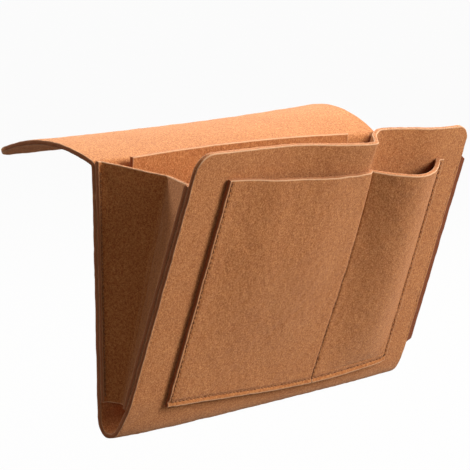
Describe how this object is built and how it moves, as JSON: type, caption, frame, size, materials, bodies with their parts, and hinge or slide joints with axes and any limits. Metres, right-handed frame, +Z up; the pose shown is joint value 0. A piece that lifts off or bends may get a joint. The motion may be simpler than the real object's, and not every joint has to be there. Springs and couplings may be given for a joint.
{
  "type": "bedside caddy",
  "caption": "Hanging felt bedside caddy with a tuck-in flap, a leaning front with two pockets, creased side gussets and an inner pocket on its back panel.",
  "frame": {"origin": "Middle of the back panel's flat rear face, which hangs against the side of the bed.", "axes": "+X to the right of someone facing the front, +Y towards the bed, +Z up."},
  "size_m": [0.3297, 0.2291, 0.222],
  "materials": {
    "felt": "thick pressed felt, tan, matt and slightly mottled",
    "thread": "brown sewing thread sunk into the felt"
  },
  "bodies": {
    "back": {"back_panel": "felt", "bottom_bend": "felt", "inner_pocket": "felt", "left_gusset_rear_flange": "felt", "right_gusset_rear_flange": "felt", "left_rear_gusset_stitching": "thread", "right_rear_gusset_stitching": "thread", "left_inner_pocket_stitching": "thread", "right_inner_pocket_stitching": "thread", "inner_pocket_bottom_stitching": "thread"},
    "flap": {"tuck_flap": "felt"},
    "front": {"front_panel": "felt", "wide_pocket": "felt", "narrow_pocket": "felt", "left_gusset_front_flange": "felt", "right_gusset_front_flange": "felt", "left_front_gusset_stitching": "thread", "right_front_gusset_stitching": "thread", "wide_pocket_side_stitching": "thread", "divider_stitching": "thread", "narrow_pocket_side_stitching": "thread", "front_pocket_bottom_stitching": "thread"},
    "left_rear_side": {"left_gusset_rear_leaf": "felt"},
    "left_front_side": {"left_gusset_front_leaf": "felt"},
    "right_rear_side": {"right_gusset_rear_leaf": "felt"},
    "right_front_side": {"right_gusset_front_leaf": "felt"}
  },
  "joints": [
    {"name": "flap_fold", "type": "hinge", "parent": "back", "child": "flap", "pos_m": [0, 0.001, 0.09405], "axis": [1, 0, 0], "range_deg": [-75, 75]},
    {"name": "front_fold", "type": "hinge", "parent": "back", "child": "front", "pos_m": [0, -0.02682, -0.09656], "axis": [1, 0, 0], "range_deg": [-13, 2]},
    {"name": "left_rear_crease", "type": "hinge", "parent": "back", "child": "left_rear_side", "pos_m": [-0.15375, -0.00935, -0.11291], "axis": [0, 0, 1], "range_deg": [-7, 44.5]},
    {"name": "left_side_crease", "type": "hinge", "parent": "left_rear_side", "child": "left_front_side", "pos_m": [-0.15375, -0.00935, -0.11291], "axis": [0.0963, -0.189, 0.9773], "range_deg": [-91.5, 14.5]},
    {"name": "right_rear_crease", "type": "hinge", "parent": "back", "child": "right_rear_side", "pos_m": [0.15375, -0.00935, -0.11291], "axis": [0, 0, -1], "range_deg": [-7, 44.5]},
    {"name": "right_side_crease", "type": "hinge", "parent": "right_rear_side", "child": "right_front_side", "pos_m": [0.15375, -0.00935, -0.11291], "axis": [0.0963, 0.189, -0.9773], "range_deg": [-91.5, 14.5]}
  ],
  "couplings": [
    {"joint": "left_rear_crease", "follows": "front_fold", "ratio": -3.4},
    {"joint": "left_side_crease", "follows": "front_fold", "ratio": 7},
    {"joint": "right_rear_crease", "follows": "front_fold", "ratio": -3.4},
    {"joint": "right_side_crease", "follows": "front_fold", "ratio": 7}
  ]
}
